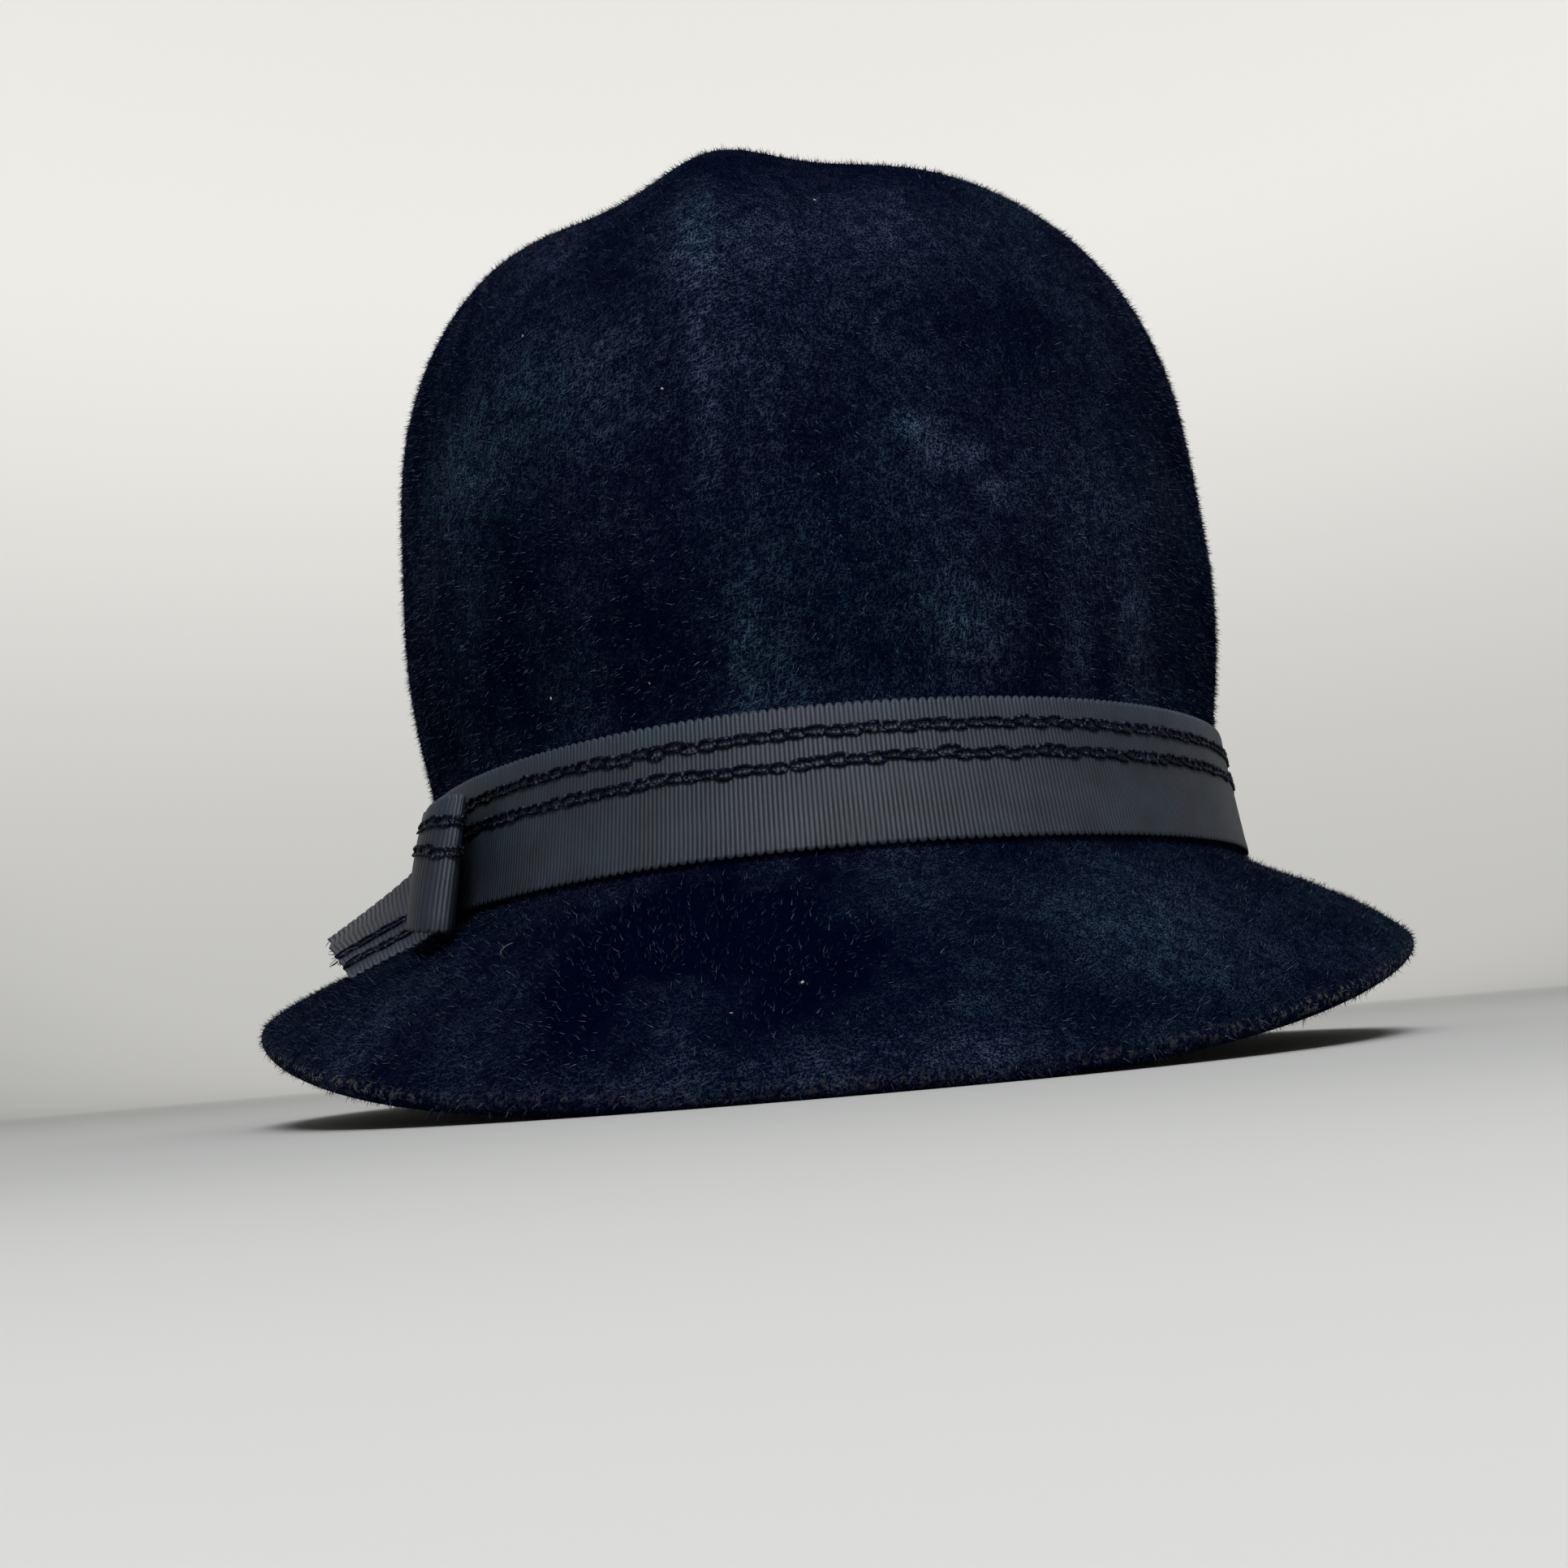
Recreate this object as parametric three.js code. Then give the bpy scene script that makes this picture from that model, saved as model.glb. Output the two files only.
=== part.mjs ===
// A velour felt cloche hat at rest on its brim: millimetres, +Z up, its front towards -Y.
// The felt is one hollow piece, crown and brim together, with the brim's edge turned under.
// A ribbon band sits round the foot of the crown, with a bow of the same ribbon at its side.
import * as THREE from 'three';

// Driving dimensions, in millimetres and degrees.
const SECTIONS = 80;              // steps round the hat
const FELT_WALL = 2.2;
const BREAK_HEIGHT = 34.8;        // where the crown turns into the brim
const BREAK_DIP = 2.2;            // how much lower that is at the left, beside the bow
const CROWN_SHIFT_X = 1.5;        // the crown's axis from the brim's
const CROWN_LEAN_X = -3;          // how far the tip leans from the axis
const CROWN_LEAN_Y = 6;

const BRIM_HALF_WIDTH = 109.3;    // of the brim's upper face, inside its round fold
const BRIM_HALF_DEPTH = 134.2;
const BRIM_REST_HEIGHT = 2.9;     // upper face at the edge where the brim rests, front and back
const BRIM_SIDE_LIFT = 18;        // how much higher the edge is at the sides
const BRIM_SIDE_SKEW = 1;         // and how much more on the left, less on the right
const BRIM_LIFT_POWER = 3;        // above 2, the edge stays level for longer where it rests
const BRIM_TURN = 3;              // the brim's bend: how far it starts straight down, and the
const BRIM_REACH = 0.56;          // share of its width and of its drop that its middle aims at
const BRIM_SAG = 0.34;
const BRIM_STEPS = 6;
const FOLD_STEPS = 4;
const HEM_WIDTH = 13;
const HEM_STEPS = 3;
const HEM_GROOVE_WIDTH = 1.6;
const HEM_GROOVE_DEPTH = 0.6;
const UNDERSIDE_END = 0.5;        // how far along the brim its bare underside runs
const UNDERSIDE_STEPS = 3;

const FIT_GAP = 0.3;              // between pieces that touch
const RIBBON_WIDTH = 23;
const RIBBON_THICKNESS = 0.9;
const BAND_FOOT = 0.4;            // the band's lower edge above the break
const LOOP_FRONT_Y = -74;         // where the bow's loop folds round
const LOOP_LENGTH = 20;
const LOOP_FOOT = 0.6;            // its lower edge above the break, at the back
const LOOP_DIP = 4.8;             // how much lower its folded end is
const LOOP_FLARE = 4;             // how far the foot of that end stands out beyond its top
const LOOP_POINTS = 44;
const LOOP_LEVELS = 4;
const TAIL_FRONT_Y = -50;         // the edge that lies on the brim
const TAIL_RISE = 12.5;           // how much higher its other edge stands, beside the band
const TAIL_END_RISE = 9.4;        // and at its cut end
const TAIL_SKEW = 2.5;            // the cut end runs further out along its back edge
const TAIL_STRIPS = 5;

// Half sizes of the felt's outer face at each height above the break.
const CROWN_LEVELS = [
  { height: 0, halfWidth: 80.6, halfDepth: 100.4 },
  { height: 12, halfWidth: 79.5, halfDepth: 98.0 },
  { height: 25, halfWidth: 78.4, halfDepth: 95.8 },
  { height: 35, halfWidth: 80.2, halfDepth: 97.0 },
  { height: 51, halfWidth: 82.2, halfDepth: 98.8 },
  { height: 74, halfWidth: 81.8, halfDepth: 97.8 },
  { height: 95.5, halfWidth: 80.4, halfDepth: 94.8 },
  { height: 114, halfWidth: 74.0, halfDepth: 87.2 },
  { height: 128, halfWidth: 62.4, halfDepth: 74.6 },
  { height: 137, halfWidth: 45.0, halfDepth: 55.8 },
  { height: 141, halfWidth: 22, halfDepth: 28 },
  { height: 142, halfWidth: 0, halfDepth: 0 },
];

// A soft ridge and two hollows run up the front and over the tip: where across the hat, how
// wide, how far out, and the heights between which they grow. They fade out behind the tip.
const CROWN_CREASES = [
  { across: -8.5, spread: 10, out: 2.4, from: 50, full: 128 },
  { across: -31, spread: 15, out: -3.2, from: 65, full: 128 },
  { across: 12, spread: 14, out: -1.8, from: 75, full: 130 },
];
const CREASE_FADE = { from: 20, to: 85 };

// Upright swells and folds where the band draws the felt in: degrees from the front.
const CROWN_FLUTES = [
  { angle: -52, spread: 7, out: 0.7 },
  { angle: -38, spread: 6, out: -0.9 },
  { angle: 22, spread: 7, out: 0.9 },
  { angle: 36, spread: 5, out: -1.3 },
  { angle: 46, spread: 5, out: 0.8 },
  { angle: 56, spread: 5, out: -1.3 },
  { angle: 67, spread: 5, out: 0.9 },
];
const FLUTE_HEIGHTS = { foot: 25, full: 38, end: 82 };

// A shallow dent in the front of the crown.
const CROWN_DENT = { across: 28, height: 68, spread: 10, out: -1.4 };

// The bow's loop from above: how far back from its fold, and how far out from the band.
const LOOP_PLIES = [
  { back: 0.8, out: 3.2 },
  { back: 5, out: 1.2 },
  { back: 12, out: 0.75 },
  { back: 20, out: 0.75 },
  { back: 21.6, out: 1.6 },
  { back: 19, out: 3.0 },
  { back: 13, out: 5.8 },
  { back: 7, out: 7.8 },
  { back: 2, out: 7.8 },
  { back: -0.4, out: 5.4 },
];

// How far out from the break each step of the ribbon's tail lies.
const TAIL_STEPS = [1.95, 4, 7, 10, 13, 16];

const bell = (value, centre, spread) => Math.exp(-(((value - centre) / spread) ** 2));
const { smoothstep, degToRad, radToDeg, lerp } = THREE.MathUtils;

// Crown: its levels make one smooth curve of half width, half depth and height.
const crownCurve = new THREE.CatmullRomCurve3(
  CROWN_LEVELS.map((level) => new THREE.Vector3(level.halfWidth, level.halfDepth, level.height)),
  false,
  'centripetal',
);
const CROWN_HEIGHT = CROWN_LEVELS.at(-1).height;
const CROWN_FOOT = CROWN_LEVELS[0];

// The crown without its creases: along is 0 at the break and 1 at the tip.
function plainCrown(turn, along) {
  const level = crownCurve.getPoint(along);
  const lean = (Math.max(level.z, 0) / CROWN_HEIGHT) ** 1.5;
  const dip = BREAK_DIP * Math.max(0, -Math.cos(turn)) ** 2;
  return new THREE.Vector3(
    CROWN_SHIFT_X + level.x * Math.cos(turn) + CROWN_LEAN_X * lean,
    level.y * Math.sin(turn) + CROWN_LEAN_Y * lean,
    BREAK_HEIGHT + level.z - dip * (1 - level.z / CROWN_HEIGHT),
  );
}

// How far the creases, flutes and dent push the felt out at a point of the crown.
function crownRelief(point, turn) {
  const height = point.z - BREAK_HEIGHT;
  const angle = (radToDeg(turn) + 270) % 360 - 180;
  const fromAxis = point.x - CROWN_SHIFT_X;
  let out = 0;
  const faded = 1 - smoothstep(point.y, CREASE_FADE.from, CREASE_FADE.to);
  for (const crease of CROWN_CREASES) {
    const grown = faded * smoothstep(height, crease.from, crease.full);
    out += crease.out * grown * bell(fromAxis, crease.across, crease.spread);
  }
  const { foot, full, end } = FLUTE_HEIGHTS;
  const swell = smoothstep(height, foot, full) * (1 - smoothstep(height, full, end));
  for (const flute of CROWN_FLUTES) {
    out += flute.out * swell * bell(angle, flute.angle, flute.spread);
  }
  if (point.y < 0) {
    const { across, height: middle, spread } = CROWN_DENT;
    out += CROWN_DENT.out * bell(fromAxis, across, spread) * bell(height, middle, spread);
  }
  return out;
}

// Upper face of the brim: along is 0 at the break and 1 at the edge.
function plainBrim(turn, along) {
  const foot = plainCrown(turn, 0);
  const side = Math.cos(turn);
  const lift = (BRIM_SIDE_LIFT - BRIM_SIDE_SKEW * side) * Math.abs(side) ** BRIM_LIFT_POWER;
  const drop = foot.z - BRIM_REST_HEIGHT - lift;
  const profile = new THREE.CubicBezierCurve(
    new THREE.Vector2(0, 0),
    new THREE.Vector2(0, -BRIM_TURN),
    new THREE.Vector2(BRIM_REACH, -BRIM_SAG * drop),
    new THREE.Vector2(1, -drop),
  ).getPoint(along);
  return new THREE.Vector3(
    lerp(foot.x, BRIM_HALF_WIDTH * side, profile.x),
    lerp(foot.y, BRIM_HALF_DEPTH * Math.sin(turn), profile.x),
    foot.z + profile.y,
  );
}

// Outward normal and downhill direction of a face that is a function of turn and along.
function faceFrame(face, turn, along, downhill) {
  const step = 1e-3;
  const round = face(turn + step, along).sub(face(turn - step, along)).normalize();
  const low = face(turn, Math.max(along - step, 0));
  const down = face(turn, Math.min(along + step, 1)).sub(low).normalize().multiplyScalar(downhill);
  return { out: new THREE.Vector3().crossVectors(down, round).normalize(), down };
}

const brimFrame = (turn, along) => faceFrame(plainBrim, turn, along, 1);

// A point at a depth below the crown's outer face.
function crownFelt(turn, along, depth) {
  const point = plainCrown(turn, along);
  const { out } = faceFrame(plainCrown, turn, along, -1);
  return point.addScaledVector(out, crownRelief(point, turn) - depth);
}

// A point at a depth below the brim's upper face.
function brimFelt(turn, along, depth) {
  return plainBrim(turn, along).addScaledVector(brimFrame(turn, along).out, -depth);
}

// A point on the round fold at the brim's edge: 0 degrees on the upper face, 180 on the hem.
function brimFold(turn, degrees) {
  const { out, down } = brimFrame(turn, 1);
  const angle = degToRad(degrees);
  return plainBrim(turn, 1)
    .addScaledVector(out, FELT_WALL * (Math.cos(angle) - 1))
    .addScaledVector(down, FELT_WALL * Math.sin(angle));
}

// Length of the brim's upper face from the break to the edge.
function brimLength(turn) {
  const marks = Array.from({ length: 13 }, (_, index) => plainBrim(turn, index / 12));
  return marks.slice(1).reduce((sum, mark, index) => sum + mark.distanceTo(marks[index]), 0);
}

// Where between 0 and 1 a rising value reaches its target.
function halved(valueAt, target) {
  let low = 0;
  let high = 1;
  for (let step = 0; step < 30; step += 1) {
    const middle = (low + high) / 2;
    if (valueAt(middle) < target) low = middle;
    else high = middle;
  }
  return low;
}

const crownAlong = (height) => halved((along) => crownCurve.getPoint(along).z, height);

// A closed mesh over rings of points that run down an outer face and back up an inner one.
// The ends close on a point each, or the last ring joins the first.
function skin(rings, ends) {
  const count = rings[0].length;
  const points = rings.flat();
  const faces = [];
  const joins = ends === 'joined' ? rings.length : rings.length - 1;
  for (let row = 0; row < joins; row += 1) {
    const here = row * count;
    const next = ((row + 1) % rings.length) * count;
    for (let side = 0; side < count; side += 1) {
      const beside = (side + 1) % count;
      faces.push(here + side, next + side, next + beside);
      faces.push(here + side, next + beside, here + beside);
    }
  }
  if (ends === 'closed') {
    const lastRing = (rings.length - 1) * count;
    const firstPole = points.push(middleOf(rings[0])) - 1;
    const lastPole = points.push(middleOf(rings.at(-1))) - 1;
    for (let side = 0; side < count; side += 1) {
      const beside = (side + 1) % count;
      faces.push(firstPole, side, beside);
      faces.push(lastPole, lastRing + beside, lastRing + side);
    }
  }
  const geometry = new THREE.BufferGeometry().setFromPoints(points);
  geometry.setIndex(faces);
  geometry.computeVertexNormals();
  return geometry;
}

function middleOf(ring) {
  const sum = ring.reduce((total, point) => total.add(point), new THREE.Vector3());
  return sum.divideScalar(ring.length);
}

// Evenly spaced values from first to last, both included.
function spaced(first, last, steps) {
  return Array.from({ length: steps + 1 }, (_, index) => lerp(first, last, index / steps));
}

const turns = spaced(0, 2 * Math.PI, SECTIONS).slice(0, -1);
const ring = (pointAt) => turns.map((turn) => pointAt(turn));

// The felt: from the tip down the outer face, round the fold at the brim's edge, in along
// the hem and over its groove, and back up the inner face. What would lie below the surface
// that the hat rests on is pressed flat.
function makeFeltBody() {
  const levels = CROWN_LEVELS.length - 1;
  const crownRing = (along, depth) => ring((turn) => crownFelt(turn, along, depth));
  const brimRing = (along, depth) => ring((turn) => brimFelt(turn, along, depth));
  const hemRing = (inFromEdge, depth) =>
    ring((turn) => brimFelt(turn, 1 - inFromEdge / brimLength(turn), depth));
  const outer = spaced(1, 0, 2 * levels).slice(1).map((along) => crownRing(along, 0));
  const brim = spaced(0, 1, BRIM_STEPS).slice(1).map((along) => brimRing(along, 0));
  const fold = spaced(0, 180, FOLD_STEPS).slice(1).map((degrees) =>
    ring((turn) => brimFold(turn, degrees)));
  const turnedUnder = spaced(0, HEM_WIDTH, HEM_STEPS).slice(1).map((inFromEdge) =>
    hemRing(inFromEdge, 2 * FELT_WALL));
  const grooveFloor = FELT_WALL - HEM_GROOVE_DEPTH;
  const groove = [
    hemRing(HEM_WIDTH, grooveFloor),
    hemRing(HEM_WIDTH + HEM_GROOVE_WIDTH, grooveFloor),
    hemRing(HEM_WIDTH + HEM_GROOVE_WIDTH, FELT_WALL),
  ];
  const underside = spaced(UNDERSIDE_END, 0, UNDERSIDE_STEPS).slice(0, -1).map((along) =>
    brimRing(along, FELT_WALL));
  const inner = spaced(0, 1, levels).slice(0, -1).map((along) => crownRing(along, FELT_WALL));
  const rings = [...outer, ...brim, ...fold, ...turnedUnder, ...groove, ...underside, ...inner];
  for (const point of rings.flat()) point.z = Math.max(point.z, 0);
  return skin(rings, 'closed');
}

// The band: a flat ribbon ring drawn round the foot of the crown.
function makeRibbonBand() {
  const inner = -FIT_GAP;
  const outer = -FIT_GAP - RIBBON_THICKNESS;
  const bandRing = (share, depth) => {
    const along = crownAlong(BAND_FOOT + share * RIBBON_WIDTH);
    return ring((turn) => crownFelt(turn, along, depth));
  };
  const rings = [
    bandRing(1, outer),
    bandRing(0.5, outer),
    bandRing(0, outer),
    bandRing(0, inner),
    bandRing(0.5, inner),
    bandRing(1, inner),
  ];
  return skin(rings, 'joined');
}

// The turn at which the break's line, on the hat's left half, reaches a place y.
const turnAt = (y) => Math.PI - Math.asin(y / CROWN_FOOT.halfDepth);

// A point at a way out from the break's line and a height above it.
function besideBreak(turn, out, height) {
  const foot = plainCrown(turn, 0);
  const normal = new THREE.Vector3(
    Math.cos(turn) / CROWN_FOOT.halfWidth,
    Math.sin(turn) / CROWN_FOOT.halfDepth,
    0,
  ).normalize();
  return foot.addScaledVector(normal, out).setZ(foot.z + height);
}

// The bow's loop: two plies that meet behind, with a round fold in front. It stands on edge
// against the band, and leans out and down towards its folded end.
function makeBowLoop() {
  const plies = new THREE.CatmullRomCurve3(
    LOOP_PLIES.map((ply) => new THREE.Vector3(ply.back, ply.out, 0)),
    true,
    'centripetal',
  ).getSpacedPoints(LOOP_POINTS).slice(0, -1);
  const bandFace = FIT_GAP + RIBBON_THICKNESS;
  const loopRing = (share, side) => plies.map((ply, index) => {
    const before = plies.at(index - 1);
    const after = plies[(index + 1) % plies.length];
    const across = new THREE.Vector3(after.y - before.y, before.x - after.x, 0).normalize();
    const { x: back, y: out } = ply.clone().addScaledVector(across, side * RIBBON_THICKNESS / 2);
    const reach = Math.max(0, 1 - back / LOOP_LENGTH);
    const height = LOOP_FOOT + share * RIBBON_WIDTH - LOOP_DIP * reach;
    const flare = LOOP_FLARE * (1 - share) * reach;
    return besideBreak(turnAt(LOOP_FRONT_Y + back), bandFace + out + flare, height);
  });
  const outer = spaced(1, 0, LOOP_LEVELS).map((share) => loopRing(share, 1));
  const inner = spaced(0, 1, LOOP_LEVELS).map((share) => loopRing(share, -1));
  return skin([...outer, ...inner], 'joined');
}

// Height of the brim's upper face at a way out from the break.
function brimHeight(turn, out) {
  const foot = plainBrim(turn, 0);
  const reach = (along) => {
    const point = plainBrim(turn, along);
    return Math.hypot(point.x - foot.x, point.y - foot.y);
  };
  return plainBrim(turn, halved(reach, out)).z;
}

// The bow's tail: a flat ribbon end that slants out over the brim from the band's lower
// edge. Its front edge lies on the felt, and its back edge stands up off it.
function makeBowTail() {
  const [start, end] = [TAIL_STEPS[0], TAIL_STEPS.at(-1)];
  const lift = FIT_GAP + RIBBON_THICKNESS / 2;
  const frontTurn = turnAt(TAIL_FRONT_Y);
  const ribbonPoint = (out, share) => {
    const rise = lerp(TAIL_RISE, TAIL_END_RISE, (out - start) / (end - start));
    const spreadY = Math.sqrt(RIBBON_WIDTH ** 2 - rise ** 2);
    const skew = out === end ? TAIL_SKEW * share : 0;
    const point = besideBreak(turnAt(TAIL_FRONT_Y + spreadY * share), out + skew, 0);
    return point.setZ(brimHeight(frontTurn, out) + lift + rise * share);
  };
  const across = ribbonPoint(start, 1).sub(ribbonPoint(start, 0));
  const outwards = ribbonPoint(end, 0).sub(ribbonPoint(start, 0));
  const face = across.cross(outwards).normalize();
  const rings = TAIL_STEPS.map((out) => {
    const edgePoint = (share, side) =>
      ribbonPoint(out, share).addScaledVector(face, side * RIBBON_THICKNESS / 2);
    const upper = spaced(1, 0, TAIL_STRIPS).map((share) => edgePoint(share, 1));
    const lower = spaced(0, 1, TAIL_STRIPS).map((share) => edgePoint(share, -1));
    return [...upper, ...lower];
  });
  return skin(rings, 'closed');
}

const feltMaterial = new THREE.MeshStandardMaterial({ color: 0x0e0f14, roughness: 0.95, metalness: 0 });
const ribbonMaterial = new THREE.MeshStandardMaterial({ color: 0x2f353c, roughness: 0.62, metalness: 0 });

const pieces = [
  { name: 'felt_body', geometry: makeFeltBody(), material: feltMaterial },
  { name: 'ribbon_band', geometry: makeRibbonBand(), material: ribbonMaterial },
  { name: 'bow_loop', geometry: makeBowLoop(), material: ribbonMaterial },
  { name: 'bow_tail', geometry: makeBowTail(), material: ribbonMaterial },
];

const hat = new THREE.Group();
for (const { name, geometry, material } of pieces) {
  const mesh = new THREE.Mesh(geometry, material);
  mesh.name = name;
  hat.add(mesh);
}

export default hat;
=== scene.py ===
import math

import bmesh
import bpy
import numpy as np
from mathutils import Matrix, Vector
from mathutils.bvhtree import BVHTree


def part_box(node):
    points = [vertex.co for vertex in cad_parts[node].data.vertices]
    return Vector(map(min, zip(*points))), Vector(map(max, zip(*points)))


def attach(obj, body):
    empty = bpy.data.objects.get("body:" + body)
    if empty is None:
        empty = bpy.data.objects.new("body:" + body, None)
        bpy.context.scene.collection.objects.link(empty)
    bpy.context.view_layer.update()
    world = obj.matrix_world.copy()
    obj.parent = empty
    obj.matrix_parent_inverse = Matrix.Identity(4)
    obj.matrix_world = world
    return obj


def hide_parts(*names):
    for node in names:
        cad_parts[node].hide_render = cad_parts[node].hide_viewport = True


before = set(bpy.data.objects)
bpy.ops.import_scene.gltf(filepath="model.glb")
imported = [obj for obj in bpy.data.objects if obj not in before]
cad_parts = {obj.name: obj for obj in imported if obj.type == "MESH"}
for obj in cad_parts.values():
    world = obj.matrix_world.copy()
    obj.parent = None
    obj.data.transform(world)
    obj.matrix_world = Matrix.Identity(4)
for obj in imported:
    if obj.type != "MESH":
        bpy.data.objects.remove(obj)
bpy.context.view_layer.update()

# A black velour hat at rest on its brim, with a ribbed ribbon band and a small bow.
# Lengths are in metres. Small ones are written as a number of millimetres, times mm.
mm = 0.001
mergeReach = 0.001 * mm       # points closer than this become one
bandLow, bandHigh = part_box("ribbon_band")
axis = (bandLow + bandHigh) / 2     # the crown stands round the upright line through here
random = np.random.default_rng(7)


def addPiece(name, mesh, material, sharpAngle=None):
    piece = bpy.data.objects.new(name, mesh)
    bpy.context.scene.collection.objects.link(piece)
    mesh.materials.append(material)
    mesh.shade_smooth()
    if sharpAngle:
        mesh.set_sharp_from_angle(angle=math.radians(sharpAngle))
    return piece


def dressPiece(piece, slot, *nodes):
    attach(piece, "root")
    if nodes:
        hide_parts(*nodes)


def meshFromArrays(name, points, faces):
    mesh = bpy.data.meshes.new(name)
    mesh.from_pydata(points, [], faces)
    mesh.update()
    return mesh


# A smooth closed line through a table's rows, as evenly spaced points, and its length.
def closedLine(table, steps):
    fineSteps = 24
    fine = []
    for index in range(len(table)):
        a, b, c, d = np.roll(table, 1 - index, axis=0)[:4]
        for share in np.linspace(0, 1, fineSteps, endpoint=False):
            fine.append(0.5 * (2 * b + (c - a) * share + (2 * a - 5 * b + 4 * c - d) * share ** 2
                               + (3 * b - a - 3 * c + d) * share ** 3))
    fine = np.array(fine + [table[0]])
    marks = np.append(0, np.cumsum(np.linalg.norm(np.diff(fine, axis=0), axis=1)))
    wanted = np.linspace(0, marks[-1], steps + 1)
    return np.array([np.interp(wanted, marks, column) for column in fine.T]).T, marks[-1]


# A socket that sums can be written with: each operation adds its node to the material.
class Wire:
    def __init__(self, tree, socket=None):
        self.tree = tree
        self.socket = socket

    def node(self, kind, settings=None, values=None, output=0):
        made = self.tree.nodes.new(kind)
        for name, value in (settings or {}).items():
            setattr(made, name, value)
        for name, value in (values or {}).items():
            plug(self.tree, made.inputs[name], value)
        return Wire(self.tree, made.outputs[output])

    def maths(self, operation, *values):
        return self.node("ShaderNodeMath", {"operation": operation}, dict(enumerate(values)))

    def __add__(self, other):
        return self.maths("ADD", self, other)

    def __radd__(self, other):
        return self.maths("ADD", other, self)

    def __sub__(self, other):
        return self.maths("SUBTRACT", self, other)

    def __rsub__(self, other):
        return self.maths("SUBTRACT", other, self)

    def __mul__(self, other):
        return self.maths("MULTIPLY", self, other)

    def __rmul__(self, other):
        return self.maths("MULTIPLY", other, self)

    def absolute(self):
        return self.maths("ABSOLUTE", self)

    def sine(self):
        return self.maths("SINE", self)

    def larger(self, other):
        return self.maths("MAXIMUM", self, other)

    def clamped(self):
        return self.maths("MINIMUM", self.larger(0.0), 1.0)

    def part(self, letter):
        return self.node("ShaderNodeSeparateXYZ", None, {0: self}, letter)

    def ramp(self, low, high):
        return self.node("ShaderNodeMapRange", {"interpolation_type": "SMOOTHSTEP"},
                         {"Value": self, "From Min": low, "From Max": high})

    def noise(self, scale, detail=2.0, roughness=0.5, stretch=None):
        vector = self
        if stretch:
            vector = self.node("ShaderNodeVectorMath", {"operation": "MULTIPLY"}, {0: self, 1: stretch})
        return self.node("ShaderNodeTexNoise", None,
                         {"Vector": vector, "Scale": scale, "Detail": detail, "Roughness": roughness})

    # 1 at a centre, fading to 0 at the ends of its spreads.
    def spot(self, centre, spread):
        away = self.node("ShaderNodeVectorMath", {"operation": "SUBTRACT"}, {0: self, 1: centre})
        away = away.node("ShaderNodeVectorMath", {"operation": "DIVIDE"}, {0: away, 1: spread})
        away = away.node("ShaderNodeVectorMath", {"operation": "LENGTH"}, {0: away}, "Value")
        return 1 - away.ramp(0.0, 1.0)

    def mix(self, first, second):
        return self.node("ShaderNodeMix", {"data_type": "RGBA"},
                         {"Factor": self, "A": first, "B": second}, "Result")


def plug(tree, socket, value):
    if isinstance(value, Wire):
        tree.links.new(value.socket, socket)
        return
    if isinstance(value, tuple) and len(value) == 3 and len(socket.default_value) == 4:
        value = (*value, 1.0)     # a colour takes an alpha too
    socket.default_value = value


# A new material, as a wire to start from and a function that sets its shader's sockets.
def newFinish(name):
    material = bpy.data.materials.new(name)
    material.use_nodes = True
    tree = material.node_tree
    shader = tree.nodes["Principled BSDF"]

    def finish(values):
        for socket, value in values.items():
            plug(tree, shader.inputs[socket], value)
        return material

    return Wire(tree), finish


# The camera, the floor and the lights.
view = {
    "azimuth": 1.37,         # degrees, towards +X
    "elevation": -4.2,       # just above the floor, looking up a little
    "distance": 368 * mm,    # from the middle of the crown's foot
    "aimHeight": 1.8 * mm,   # of that middle, above the band's lowest point
    "lens": 41.0,            # millimetres, as is the sensor's width
    "sensor": 36.0,
    "roll": 5.07,            # degrees
    "across": 0.0295,        # where the crown's foot stands from the middle of the view,
    "down": 0.0664,          # as slopes
}


def makeCamera():
    target = Vector((axis.x, axis.y, bandLow.z + view["aimHeight"]))
    azimuth = math.radians(view["azimuth"])
    elevation = math.radians(view["elevation"])
    back = Vector((
        math.sin(azimuth) * math.cos(elevation),
        -math.cos(azimuth) * math.cos(elevation),
        math.sin(elevation),
    ))
    camera = bpy.data.objects.new("camera", bpy.data.cameras.new("camera"))
    bpy.context.scene.collection.objects.link(camera)
    bpy.context.scene.camera = camera
    camera.data.lens = view["lens"]
    camera.data.sensor_width = view["sensor"]
    camera.data.clip_start = 0.01
    camera.data.clip_end = 20
    camera.rotation_mode = "QUATERNION"
    look = (-back).to_track_quat("-Z", "Y")
    roll = Matrix.Rotation(math.radians(-view["roll"]), 3, "Z").to_quaternion()
    seen = Vector((view["across"], -view["down"], -1)).normalized()
    aim = Vector((0, 0, -1)).rotation_difference(seen)
    camera.location = target + back * view["distance"]
    camera.rotation_quaternion = look @ roll @ aim.inverted()


studio = {
    "floorRadius": 1.0,
    "coveRadius": 0.7,
    "wallTop": 2.4,
    "coveSteps": 12,
    "sections": 96,
    "paint": (0.40, 0.397, 0.385),
    "wallGlow": (0.64, 0.63, 0.60),   # the wall behind the hat has a painted glow,
    "glowDepths": (0.15, 1.3),        # more so further back
    "depthShare": 0.45,
    "glowHeights": (0.0, 1.0),        # and further up,
    "heightShare": 0.55,
    "sideGlow": 0.08,                 # and little at its sides,
    "sideSlope": 0.6,
    "sideDepths": (-0.1, 0.85),
    "floorGlow": 0.34,                # and a painted glow on the floor in front stands in for a lamp close by,
    "floorDepths": (-0.42, -0.15),    # up to the hat
    "floorHeights": (0.0, 0.3),
    "skyColour": (0.95, 0.97, 1.0),
    "skyStrength": 0.3,
    "lampAim": (0, 0, 0.08),
}
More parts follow.
